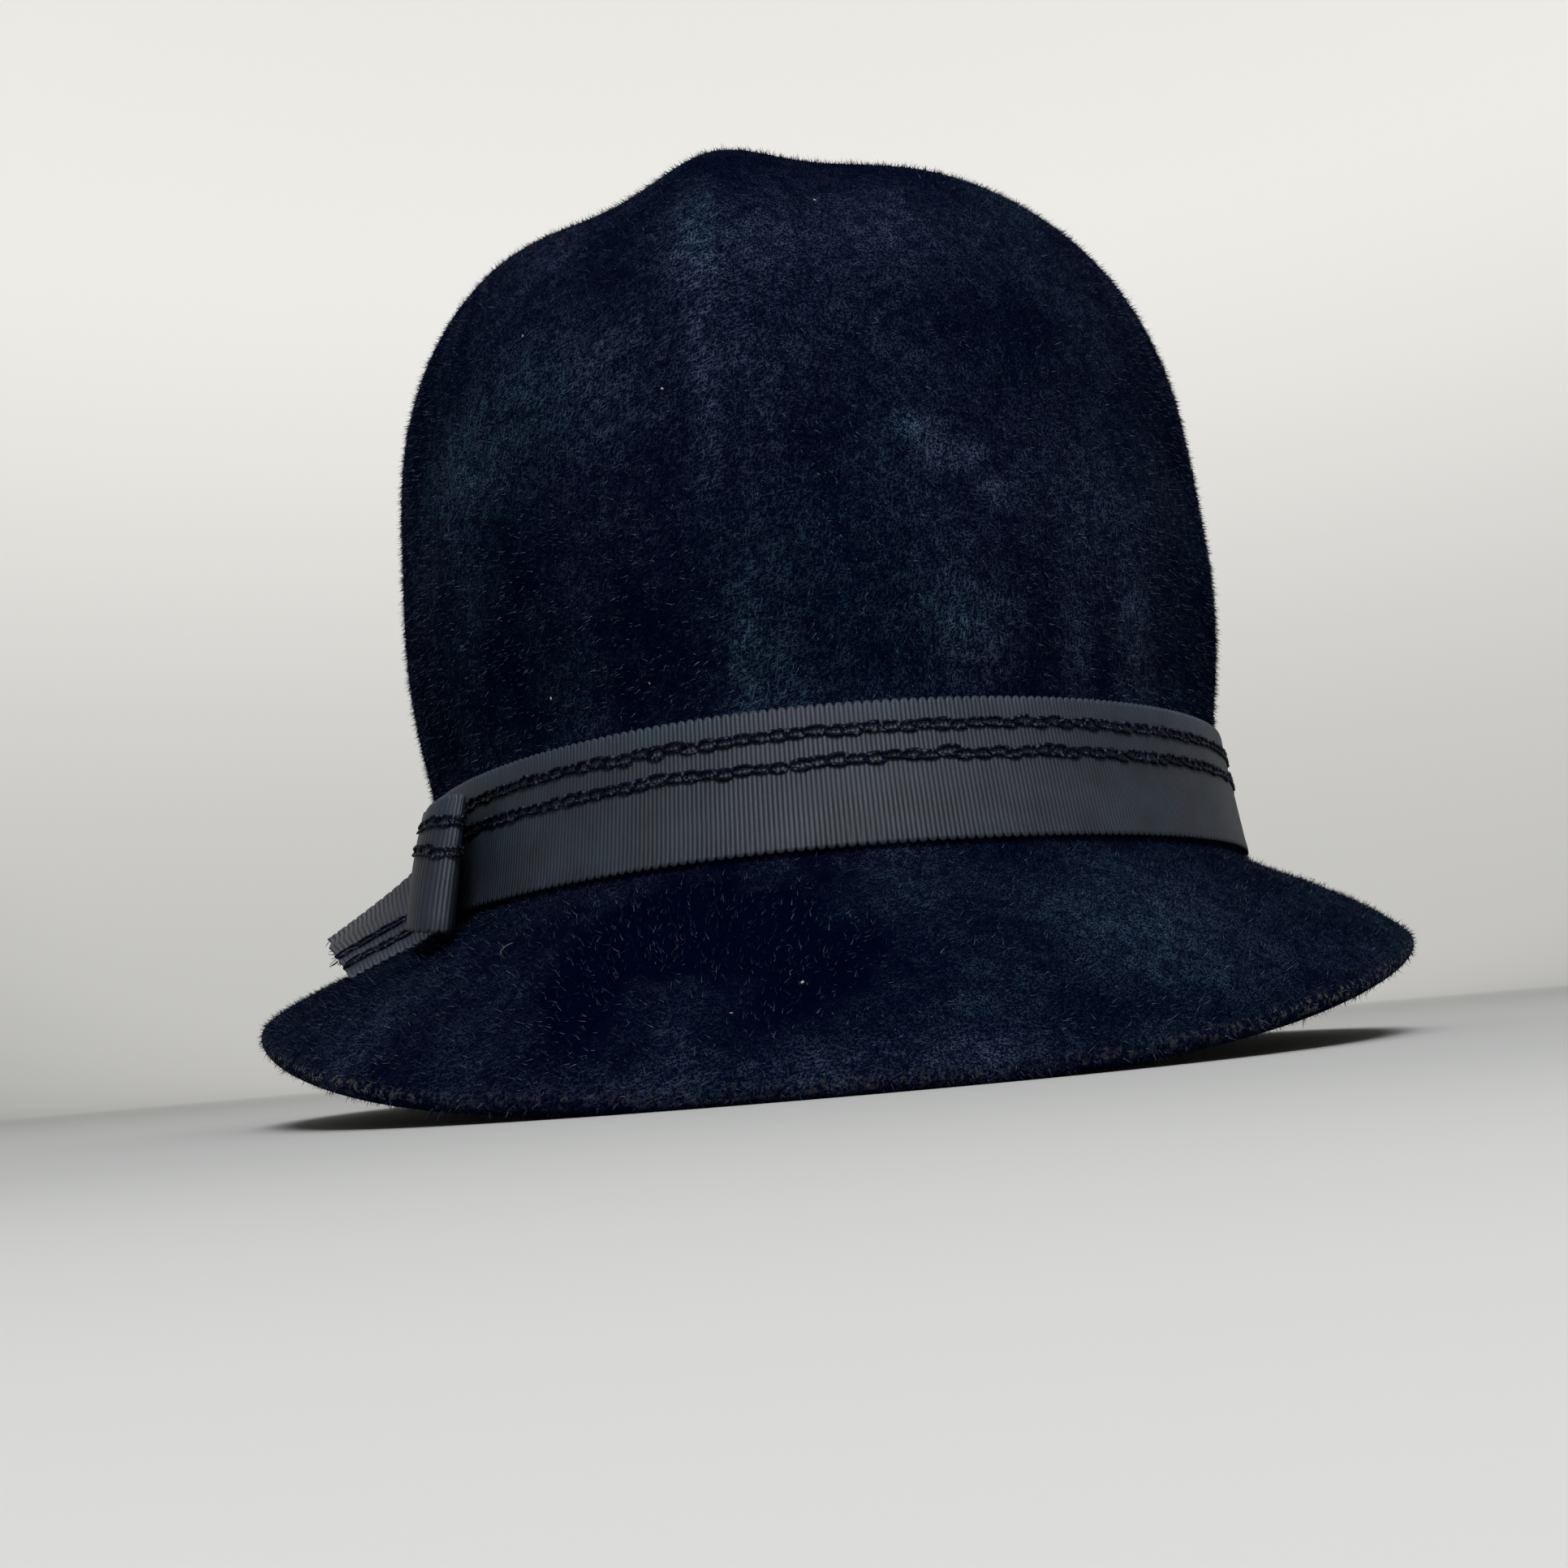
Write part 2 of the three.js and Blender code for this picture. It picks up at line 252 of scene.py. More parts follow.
lamps = [
    {"name": "top_light", "place": (0.10, 0.05, 1.30), "size": 0.9, "power": 5.0,
     "colour": (1.0, 0.985, 0.96)},
    {"name": "front_light", "place": (0.08, -0.95, 0.95), "size": 0.5, "power": 15.0,
     "colour": (0.92, 0.96, 1.0)},
]


# The floor curves up into a round wall, so no edge shows behind the hat.
def makeStudio():
    wires, finish = newFinish("pale_paint")
    place = wires.node("ShaderNodeTexCoord", output="Object")
    across, depth, height = place.part("X"), place.part("Y"), place.part("Z")
    # The paint glows as painted light, brightest on the wall behind the hat and on the floor in front.
    behind = (depth - studio["sideSlope"] * across.absolute()).ramp(*studio["sideDepths"])
    glow = studio["depthShare"] * depth.ramp(*studio["glowDepths"]) \
        + studio["heightShare"] * height.ramp(*studio["glowHeights"])
    glow = glow * (studio["sideGlow"] + (1 - studio["sideGlow"]) * behind)
    near = (1 - depth.ramp(*studio["floorDepths"])) * (1 - height.ramp(*studio["floorHeights"]))
    glow = (glow + studio["floorGlow"] * near).clamped()
    paint = finish({
        "Base Color": studio["paint"],
        "Roughness": 0.9,
        "Specular IOR Level": 0.0,
        "Emission Color": glow.mix((0, 0, 0), studio["wallGlow"]),
        "Emission Strength": 1.0,
    })
    bm = bmesh.new()
    floor = studio["floorRadius"]
    cove = studio["coveRadius"]
    profile = [bm.verts.new((0, 0, 0)), bm.verts.new((floor, 0, 0))]
    for step in range(1, studio["coveSteps"] + 1):
        angle = math.pi / 2 * step / studio["coveSteps"]
        profile.append(bm.verts.new((floor + cove * math.sin(angle), 0, cove * (1 - math.cos(angle)))))
    profile.append(bm.verts.new((floor + cove, 0, studio["wallTop"])))
    edges = [bm.edges.new(pair) for pair in zip(profile, profile[1:])]
    bmesh.ops.spin(bm, geom=profile + edges, cent=(0, 0, 0), axis=(0, 0, 1), angle=math.tau,
                   steps=studio["sections"], use_merge=True)
    bmesh.ops.remove_doubles(bm, verts=bm.verts, dist=mergeReach)
    bmesh.ops.recalc_face_normals(bm, faces=bm.faces)
    mesh = bpy.data.meshes.new("studio")
    bm.to_mesh(mesh)
    bm.free()
    addPiece("studio", mesh, paint)
    world = bpy.data.worlds.new("studio_sky")
    bpy.context.scene.world = world
    world.use_nodes = True
    sky = world.node_tree.nodes["Background"]
    sky.inputs["Color"].default_value = (*studio["skyColour"], 1)
    sky.inputs["Strength"].default_value = studio["skyStrength"]
    for lamp in lamps:
        data = bpy.data.lights.new(lamp["name"], "AREA")
        data.shape = "DISK"
        data.size = lamp["size"]
        data.energy = lamp["power"]
        data.color = lamp["colour"]
        light = bpy.data.objects.new(lamp["name"], data)
        bpy.context.scene.collection.objects.link(light)
        light.location = lamp["place"]
        aim = Vector(studio["lampAim"]) - Vector(lamp["place"])
        light.rotation_mode = "QUATERNION"
        light.rotation_quaternion = aim.to_track_quat("-Z", "Y")
    bpy.context.scene.view_settings.view_transform = "Standard"


makeCamera()
makeStudio()
print("Camera, floor and lights are ready.")


# The felt, whose crown and brim are one piece.
felt = {
    "subdivision": 2,
    "foldSpread": 0.35 * mm,   # of the worn line round the brim's edge
    "edgeSteps": 120,
    "hemWidth": 14.5 * mm,     # of the strip under the brim's edge that has a nap too
    "sideFacing": 0.3,         # how squarely a wall faces out where it counts as outside,
    "topFacing": 0.4,          # and how squarely the crown's top faces up
    "bumpDepth": 0.6 * mm,
    # The outside's colour runs from deep, its painted shade, to lit and teal, its painted sheen.
    "deep": (0.0005, 0.0013, 0.0088),
    "lit": (0.0480, 0.0640, 0.1140),
    "teal": (0.0370, 0.0690, 0.1080),
    "inside": (0.0100, 0.0120, 0.0190),
    "wearAndGlint": (0.100, 0.102, 0.092),
}
# Painted light on the felt: painted sheen where the nap lies another way, and painted highlights and
# shade at the ridge, the dent, the folds and the brim. Paler where its gain is above 0, darker where it
# is below. Centres and spreads are in millimetres.
paintedLightPatches = [
    {"centre": (-10, -90, 140), "spread": (7, 40, 24), "gain": 0.46},    # the ridge near the tip
    {"centre": (-10, -96, 108), "spread": (4, 30, 34), "gain": 0.34},
    {"centre": (-7, -95, 68), "spread": (4, 30, 22), "gain": 0.24},
    {"centre": (-57, -72, 112), "spread": (16, 40, 18), "gain": 0.44},   # the left shoulder
    {"centre": (-36, -86, 118), "spread": (30, 40, 24), "gain": 0.26},
    {"centre": (10, -92, 118), "spread": (24, 40, 28), "gain": 0.16},
    {"centre": (23, -92, 103), "spread": (7, 30, 4), "gain": 0.55},      # the small dent
    {"centre": (29, -91, 98), "spread": (8, 30, 4.5), "gain": 0.60},
    {"centre": (35, -89, 92), "spread": (6, 30, 5), "gain": 0.45},
    {"centre": (30, -90, 70), "spread": (13, 30, 14), "gain": 0.44},
    {"centre": (48, -80, 94), "spread": (22, 40, 30), "gain": 0.26},
    {"centre": (57, -68, 68), "spread": (6, 30, 26), "gain": 0.40},      # the folds at the right
    {"centre": (46, -78, 66), "spread": (4, 30, 18), "gain": 0.30},
    {"centre": (20, -86, 142), "spread": (60, 60, 22), "gain": 0.24},
    {"centre": (52, -104, 22), "spread": (28, 30, 22), "gain": 0.40},    # the brim
    {"centre": (-100, -50, 8), "spread": (42, 60, 22), "gain": 0.30},
    {"centre": (100, -50, 8), "spread": (42, 60, 22), "gain": 0.30},
    {"centre": (-8, -110, 20), "spread": (50, 36, 24), "gain": -0.27},
    {"centre": (6, -94, 84), "spread": (18, 30, 32), "gain": -0.12},
    {"centre": (-40, -85, 76), "spread": (34, 40, 32), "gain": -0.10},
    {"centre": (0, -134, 4), "spread": (140, 24, 5), "gain": 0.20},
]


# Short strokes of nap: noise drawn out along a direction.
def strokes(place, turn):
    turned = place.node("ShaderNodeVectorRotate", {"rotation_type": "EULER_XYZ"},
                        {"Vector": place, "Rotation": turn})
    return turned.noise(1.0, 1.0, 0.5, stretch=(700, 3400, 3400)).ramp(0.54, 0.64)


def feltFinish():
    wires, finish = newFinish("velour_felt")
    place = wires.node("ShaderNodeTexCoord", output="Object")
    cloud = place.noise(34.0, 3.0, 0.55).ramp(0.40, 0.68)
    streak = place.noise(1.0, 2.0, 0.5, stretch=(70, 70, 16)).ramp(0.42, 0.70)
    clump = place.noise(420.0, 3.0, 0.6)
    grain = place.noise(2400.0, 2.0, 0.6)
    fibre = strokes(place, (0, 0.3, 0.2))
    for turn in ((0.4, 1.3, 0.5), (0.3, -0.9, 1.2)):
        fibre = fibre.larger(strokes(place, turn))
    outside = wires.node("ShaderNodeAttribute", {"attribute_name": "outside"}, output="Fac")
    fold = wires.node("ShaderNodeAttribute", {"attribute_name": "fold"}, output="Fac")
    # The outside's tone is painted light: noise clouds and streaks of painted highlight, plus the
    # patches' painted sheen, highlights and shade, times the fibres' speckle.
    turned = 0.06 + 0.20 * cloud + 0.12 * streak
    for patch in paintedLightPatches:
        centre = [value * mm for value in patch["centre"]]
        spread = [value * mm for value in patch["spread"]]
        turned = turned + place.spot(centre, spread) * patch["gain"]
    speckle = 0.15 * grain.ramp(0.3, 0.7) + 0.95 * fibre
    tone = (turned * speckle * (0.5 + 0.9 * clump.ramp(0.35, 0.65))).clamped()
    tint = place.noise(22.0, 2.0, 0.5).ramp(0.45, 0.58)
    velour = tone.mix(felt["deep"], tint.mix(felt["lit"], felt["teal"]))
    inner = (0.4 * grain.ramp(0.3, 0.8) + 0.3 * fibre).mix(felt["deep"], felt["inside"])
    colour = outside.mix(inner, velour)
    flecks = place.noise(900.0, 2.0, 0.6).ramp(0.50, 0.60) * grain.ramp(0.35, 0.6)
    sides = place.part("X").absolute().ramp(0.045, 0.085)     # the fold is worn most at the sides
    wearAndGlint = (fold * flecks * (0.25 + 0.75 * sides)).clamped()
    colour = wearAndGlint.mix(colour, felt["wearAndGlint"])
    height = 0.5 * fibre + 0.3 * grain + 0.6 * clump
    bump = wires.node("ShaderNodeBump", None,
                      {"Height": height, "Strength": 0.8, "Distance": felt["bumpDepth"]})
    return finish({
        "Base Color": colour,
        "Roughness": 0.95,
        "Specular IOR Level": 0.0,
        "Normal": bump,
    })


def marked(mesh, name, values):
    mesh.attributes.new(name, "FLOAT", "POINT").data.foreach_set("value", values.astype(np.float32))


# The brim's edge: the furthest point in each direction.
def brimEdge(points):
    flat = points[:, :2] - [axis.x, axis.y]
    turns, radius = np.arctan2(flat[:, 1], flat[:, 0]), np.linalg.norm(flat, axis=1)
    slot = ((turns / math.tau + 0.5) * felt["edgeSteps"]).astype(int) % felt["edgeSteps"]
    furthest = [np.flatnonzero(slot == index)[radius[slot == index].argmax()]
                for index in range(felt["edgeSteps"])]
    return turns[furthest], radius[furthest]


# How the felt faces at each point: outside or in, and how near the brim's edge.
def feltSides(points, normals):
    flat = points[:, :2] - [axis.x, axis.y]
    radius = np.linalg.norm(flat, axis=1)
    facing = (flat * normals[:, :2]).sum(1) / np.maximum(radius, mm)
    outside = np.maximum(facing / felt["sideFacing"], normals[:, 2] / felt["topFacing"])
    outside = np.clip(outside, 0, 1)
    turns = np.arctan2(flat[:, 1], flat[:, 0])
    fromEdge = np.interp(turns, rimTurns, rimRadii, period=math.tau) - radius
    low = points[:, 2] < bandLow.z
    fold = np.where(low, np.exp(-(fromEdge / felt["foldSpread"]) ** 2), 0)
    hem = low & (fromEdge < felt["hemWidth"])
    return np.where(hem, 1.0, outside), fold


# A copy of a solid's mesh as quads, made smooth. Its own mesh is loose triangles.
def smoothCopy(name, node, levels):
    bm = bmesh.new()
    bm.from_mesh(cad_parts[node].data)
    bmesh.ops.remove_doubles(bm, verts=bm.verts, dist=mergeReach)
    bmesh.ops.join_triangles(bm, faces=bm.faces, angle_face_threshold=math.radians(50),
                             angle_shape_threshold=math.radians(60))
    rough = bpy.data.meshes.new(name)
    bm.to_mesh(rough)
    bm.free()
    holder = bpy.data.objects.new(name, rough)
    bpy.context.scene.collection.objects.link(holder)
    smoothing = holder.modifiers.new("smooth", "SUBSURF")
    smoothing.levels = levels
    smoothing.render_levels = levels
    bpy.context.view_layer.update()
    graph = bpy.context.evaluated_depsgraph_get()
    mesh = bpy.data.meshes.new_from_object(holder.evaluated_get(graph))
    bpy.data.objects.remove(holder)
    mesh.materials.clear()
    mesh.name = name
    return mesh


def meshArrays(mesh):
    points = np.zeros(len(mesh.vertices) * 3)
    normals = np.zeros(len(mesh.vertices) * 3)
    mesh.vertices.foreach_get("co", points)
    mesh.vertices.foreach_get("normal", normals)
    return points.reshape(-1, 3), normals.reshape(-1, 3)


feltMesh = smoothCopy("velour_shell", "felt_body", felt["subdivision"])
feltPoints, feltNormals = meshArrays(feltMesh)
rimTurns, rimRadii = brimEdge(feltPoints)
outsideMarks, foldMarks = feltSides(feltPoints, feltNormals)
marked(feltMesh, "outside", outsideMarks)
marked(feltMesh, "fold", foldMarks)
feltPiece = addPiece("velour_shell", feltMesh, feltFinish())
dressPiece(feltPiece, "velour_felt", "felt_body")
feltMesh.calc_loop_triangles()
feltTriangles = np.array([triangle.vertices[:] for triangle in feltMesh.loop_triangles])
feltTree = BVHTree.FromPolygons(feltPoints.tolist(), feltTriangles.tolist())
print("The felt has", len(feltTriangles), "triangles.")


# The ribbon of the band and the bow, and places on the band and beside it.
ribbon = {
    "width": 23 * mm,
    "gap": 0.3 * mm,           # between the band and the felt
    "foot": 0.4 * mm,          # the band's lower edge above the crown's foot
    "thickness": 0.9 * mm,
    "cloth": 0.45 * mm,        # of the woven cloth under its ribs
    "thinEdge": 0.12 * mm,     # how much thinner the ribbon's two edges are
    "ribPitch": 0.74 * mm,
    "ribHeight": 0.11 * mm,
    "ribColumns": (0.0, 0.24, 0.76),   # groove, and the two shoulders of the rib
    "picotReach": 0.65 * mm,   # each scallop of the edge spans two ribs
    "bumpDepth": 0.2 * mm,
    "deep": (0.0010, 0.0021, 0.0060),
    "lit": (0.0180, 0.0245, 0.0460),
    "teal": (0.0120, 0.0260, 0.0430),
}
onBand = ribbon["gap"] + ribbon["thickness"]
halfWidth = (bandHigh.x - bandLow.x) / 2 - onBand      # of the crown's foot
halfDepth = (bandHigh.y - bandLow.y) / 2 - onBand
bandTable = {
    "turns": 720,              # points round the crown,
    "levels": 7,               # and up the ribbon
    "solidSections": 80,       # of the band's own solid
    "rayStart": 1.6,           # in half widths of the crown
}


# A direction round the crown, as the angle of an oval with the foot's own width and depth.
def ovalTurns(points):
    return np.arctan2((points[:, 1] - axis.y) / halfDepth, (points[:, 0] - axis.x) / halfWidth)


# The band's lower and upper edges at each turn, from its own solid.
def bandEdges():
    points = np.array([vertex.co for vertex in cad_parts["ribbon_band"].data.vertices])
    sections = bandTable["solidSections"]
    slot = np.round(ovalTurns(points) / math.tau * sections).astype(int) % sections
    marks = np.arange(sections) * math.tau / sections
    low = np.array([points[slot == index, 2].min() for index in range(sections)])
    high = np.array([points[slot == index, 2].max() for index in range(sections)])
    return marks, low, high


edgeTurns, edgeLow, edgeHigh = bandEdges()


def edgesAt(turns):
    return [np.interp(turns, edgeTurns, edge, period=math.tau) for edge in (edgeLow, edgeHigh)]


# Points of the felt behind the band, by turn and by height, which way it faces at each, and
# the length round it. They are where rays from outside meet the felt.
def feltBehindBand():
    turns = np.arange(bandTable["turns"]) * math.tau / bandTable["turns"]
    low, high = edgesAt(turns)
    grid = np.zeros((bandTable["levels"], bandTable["turns"], 3))
    for level in range(bandTable["levels"]):
        share = level / (bandTable["levels"] - 1)
        for index, turn in enumerate(turns):
            out = Vector((halfWidth * math.cos(turn), halfDepth * math.sin(turn), 0))
            out *= bandTable["rayStart"]
            centre = Vector((axis.x, axis.y, low[index] + share * (high[index] - low[index])))
            grid[level, index] = feltTree.ray_cast(centre + out, -out.normalized())[0]
    kernel = np.array([1, 4, 6, 4, 1]) / 16      # evens the points out along the band
    grid = sum(weight * np.roll(grid, shift, axis=1) for weight, shift in zip(kernel, range(-2, 3)))
    middle = grid[bandTable["levels"] // 2]
    steps = np.linalg.norm(np.roll(middle, -1, axis=0) - middle, axis=1)
    around = np.gradient(np.concatenate([grid[:, -2:], grid, grid[:, :2]], axis=1), axis=1)[:, 2:-2]
    upwards = np.gradient(grid, axis=0)
    outward = np.cross(around, upwards)
    outward /= np.linalg.norm(outward, axis=2, keepdims=True)
    return grid, outward, np.append(0, np.cumsum(steps))


bandGrid, bandOut, bandMarks = feltBehindBand()
bandLength = bandMarks[-1]


# A value between the points of a grid, whose columns go round the crown.
def fromGrid(grid, column, level):
    left = np.floor(column).astype(int)
    low = np.clip(np.floor(level).astype(int), 0, len(grid) - 2)
    across = (column - left)[:, None]
    up = (level - low)[:, None]
    count = grid.shape[1]
    first = grid[low, left % count] * (1 - across) + grid[low, (left + 1) % count] * across
    second = grid[low + 1, left % count] * (1 - across) + grid[low + 1, (left + 1) % count] * across
    return first * (1 - up) + second * up


# A point by its way along the band, its height up the ribbon and its way out from the felt.
def onTheBand(along, up, out):
    column = np.interp(np.mod(along, bandLength), bandMarks, np.arange(len(bandMarks)))
    level = up / ribbon["width"] * (bandTable["levels"] - 1)
    outward = fromGrid(bandOut, column, level)
    outward /= np.linalg.norm(outward, axis=1, keepdims=True)
    return fromGrid(bandGrid, column, level) + outward * (out + ribbon["gap"])[:, None]


# Which way the crown's side faces at a turn.
def sideNormal(turn):
    normal = np.stack([np.cos(turn) / halfWidth, np.sin(turn) / halfDepth], axis=1)
    return normal / np.linalg.norm(normal, axis=1, keepdims=True)


# How far in the crown's side has leaned at a height above its foot.
def crownLean(turn, height):
    column = turn / math.tau * bandTable["turns"]
    level = np.clip(height / ribbon["width"], 0, 1) * (bandTable["levels"] - 1)
    lean = fromGrid(bandGrid, column, 0 * level) - fromGrid(bandGrid, column, level)
    return (lean[:, :2] * sideNormal(turn)).sum(axis=1)


# A point by turn, way out from the crown's foot and height above it.
def besideCrown(turn, out, height):
    foot = edgesAt(turn)[0] - ribbon["foot"]
    normal = sideNormal(turn)
    x = axis.x + halfWidth * np.cos(turn) + normal[:, 0] * out
    y = axis.y + halfDepth * np.sin(turn) + normal[:, 1] * out
    return np.stack([x, y, foot + height], axis=1)


# The turn at which the crown's foot, on the hat's left half, reaches a place y.
def leftTurn(y):
    return math.pi - np.arcsin(y / halfDepth)


# The chain stitches along the band and the bow.
stitch = {
    "rows": (18.5 * mm, 13.6 * mm),   # above the ribbon's lower edge
    "length": 2.85 * mm,
    "halfWidth": 0.84 * mm,
    "thread": 0.32 * mm,       # half its thickness
    "lift": 0.32 * mm,         # how far a link stands up in its middle
    "sunk": 0.05 * mm,         # how far its ends lie in the cloth
    "overlap": 1.2,            # of a link's length and the step to the next one
    "startWidth": 0.7,         # of a link, against its wide end
    "wobble": 0.11,            # how uneven the links are
    "drift": 1.6 * mm,         # sideways, for a wobble of 1
    "press": 0.12 * mm,        # how far the stitches pull the cloth in
    "pressSpread": 0.8 * mm,
    "pathSteps": 12,
    "sides": 4,
    "bumpDepth": 0.2 * mm,
    "deep": (0.0004, 0.0010, 0.0075),
    # the colour of the thread's painted glints
    "lit": (0.0800, 0.0950, 0.1250),
}
# The heights of the ribbon's rows of points, closer together by its edges and its stitches.
ribbonRows = [value * mm for value in
              (0, 0.75, 3, 7, 11, 12.6, 13.6, 14.6, 16, 17.5, 18.5, 19.5, 21, 22.25, 23)]


def ribbonFinish():
    wires, finish = newFinish("ribbed_ribbon")
    place = wires.node("ShaderNodeUVMap", {"uv_map": "weave"})     # in ribs, and in millimetres
    # The grooves between the ribs are painted darker, as painted shade, and the ribs' crests are
    # smoother.
    rib = (place.part("X") * math.pi).sine().absolute()
    threads = place.noise(1.0, 2.0, 0.6, stretch=(2.6, 14.0, 1.0))
    flat = place.noise(1.0, 2.0, 0.5, stretch=(0.05, 0.12, 1.0)).ramp(0.42, 0.62) * 0.55
    patch = place.noise(0.11, 3.0, 0.5)
    up = place.part("Y") - ribbon["width"] / mm / 2
    # Painted highlight: the ribbon is paler along both its edges and towards its upper edge.
    edge = 0.35 * up.absolute().ramp(10.6, 11.4) + 0.25 * up.ramp(6.5, 9.0)
    rib = rib * (1 - flat) + 0.75 * flat
    tone = rib * (0.20 + 0.80 * threads.ramp(0.2, 0.85)) + 0.35 * (patch.ramp(0.3, 0.75) - 0.5) + edge
    tint = place.noise(1.0, 1.0, 0.5, stretch=(0.035, 0.03, 1.0)).ramp(0.42, 0.58)
    bump = wires.node("ShaderNodeBump", None,
                      {"Height": threads, "Strength": 0.35, "Distance": ribbon["bumpDepth"]})
    return finish({
        "Base Color": tone.clamped().mix(ribbon["deep"], tint.mix(ribbon["lit"], ribbon["teal"])),
        "Roughness": 0.86 - 0.44 * rib,
        "Specular IOR Level": 0.52,
        "Normal": bump,
    })


def threadFinish():
    wires, finish = newFinish("black_thread")
    place = wires.node("ShaderNodeTexCoord", output="Object")
    ply = place.noise(1900.0, 2.0, 0.5)
    # Pale spots on the thread are painted glints, and its ply has a faint painted sheen.
    wearAndGlint = place.noise(1500.0, 1.0, 0.5).ramp(0.56, 0.66)
    shine = (0.06 * ply.ramp(0.4, 0.75) + 0.5 * wearAndGlint).clamped()
    bump = wires.node("ShaderNodeBump", None,
                      {"Height": ply, "Strength": 0.4, "Distance": stitch["bumpDepth"]})
    return finish({
        "Base Color": shine.mix(stitch["deep"], stitch["lit"]),
        "Roughness": 0.55,
        "Specular IOR Level": 0.04,
        "Normal": bump,
    })


ribbonCloth = ribbonFinish()
thread = threadFinish()


# A length of ribbon: a flat grid whose rows and ribs are shaped, then set in its place.
# The place is a function of the way along, the way up and the way out.
def weaveRibbon(name, length, place, closed=False):
    ribs = round(length / ribbon["ribPitch"] / 2) * 2
    rowSteps = len(ribbonRows) - 1
    bm = bmesh.new()
    columns = ribbon["ribColumns"]
    bmesh.ops.create_grid(bm, x_segments=ribs * len(columns), y_segments=rowSteps, size=0.5)
    flat = np.array([vertex.co for vertex in bm.verts])
    column = np.round((flat[:, 0] + 0.5) * ribs * len(columns)).astype(int)
    count = column // len(columns) + np.array(columns)[column % len(columns)]      # in ribs
    row = np.round((flat[:, 1] + 0.5) * rowSteps).astype(int)
    up = np.array(ribbonRows)[row]
    scallop = np.sqrt(np.clip(1 - (np.mod(count / 2, 1) * 2 - 1) ** 2, 0, 1))
    reach = ribbon["picotReach"]
    up = np.where(row == 0, reach * (1 - scallop), up)
    up = np.where(row == rowSteps, ribbon["width"] - reach * (1 - scallop), up)
    rise = np.where(column % len(columns) == 0, 0, ribbon["ribHeight"])
    for stitchRow in stitch["rows"]:
        rise = rise - stitch["press"] * np.exp(-((up - stitchRow) / stitch["pressSpread"]) ** 2)
    out = ribbon["thickness"] - ribbon["ribHeight"] + rise
    out = out - np.where((row == 0) | (row == rowSteps), ribbon["thinEdge"], 0)
    along = count * (length / ribs)
    weave = bm.loops.layers.uv.new("weave")
    for vertex, point, u, v in zip(bm.verts, place(along, up, out), count, up / mm):
        vertex.co = point
        for faceCorner in vertex.link_loops:
            faceCorner[weave].uv = (u, v)
    if closed:
        bmesh.ops.remove_doubles(bm, verts=bm.verts, dist=10 * mergeReach)
    mesh = bpy.data.meshes.new(name)
    bm.to_mesh(mesh)
    bm.free()
    piece = addPiece(name, mesh, ribbonCloth, sharpAngle=60)
    backing = piece.modifiers.new("cloth", "SOLIDIFY")
    backing.thickness = ribbon["cloth"]
    backing.offset = -1
    return piece


# A row of chain stitches: each link is a closed loop of thread that starts inside the last one.
def chainRow(name, start, end, up, place):
    count = max(1, round((end - start) / stitch["length"]))
    pitch = (end - start) / count
    steps, sides = stitch["pathSteps"], stitch["sides"]
    turn = np.arange(steps) * math.tau / steps
    share = (1 - np.cos(turn)) / 2
    widening = stitch["startWidth"] + (1 - stitch["startWidth"]) * share
    pathAlong = share * pitch * stitch["overlap"]
    pathUp = np.sign(np.sin(turn)) * np.abs(np.sin(turn)) ** 0.6 * widening * stitch["halfWidth"]
    pathOut = stitch["lift"] * np.sin(math.pi * np.clip(share * 1.1, 0, 1)) ** 0.7
    ahead = np.stack([np.roll(values, -1) - np.roll(values, 1) for values in (pathAlong, pathUp)], 1)
    ahead /= np.linalg.norm(ahead, axis=1, keepdims=True)
    angle = np.arange(sides) * math.tau / sides + math.pi / 4
    across = np.cos(angle)[None, :] * stitch["thread"]
    along = pathAlong[:, None] + ahead[:, 1:2] * across
    height = pathUp[:, None] - ahead[:, 0:1] * across
    out = pathOut[:, None] + np.sin(angle)[None, :] * stitch["thread"]
    wobble = random.normal(0, stitch["wobble"], (count, 3)) * (0.5, 1, 1)
    starts = start + (np.arange(count) + wobble[:, 0]) * pitch
    linkAlong = starts[:, None, None] + along[None] * (1 + 0.6 * wobble[:, 1])[:, None, None]
    linkUp = up + height[None] * (1 + wobble[:, 2])[:, None, None] \
        + (wobble[:, 1] * stitch["drift"])[:, None, None]
    linkOut = np.broadcast_to(out[None], linkUp.shape) + ribbon["thickness"] - stitch["sunk"]
    points = place(linkAlong.ravel(), linkUp.ravel(), linkOut.ravel())
    linkSize = steps * sides
    here = np.arange(steps)[:, None] * sides + np.arange(sides)
    beside = np.arange(steps)[:, None] * sides + (np.arange(sides) + 1) % sides
    faces = np.stack([here, beside, (beside + sides) % linkSize, (here + sides) % linkSize], 2)
    faces = (np.arange(count)[:, None, None, None] * linkSize + faces[None]).reshape(-1, 4)
    return meshFromArrays(name, points, faces)


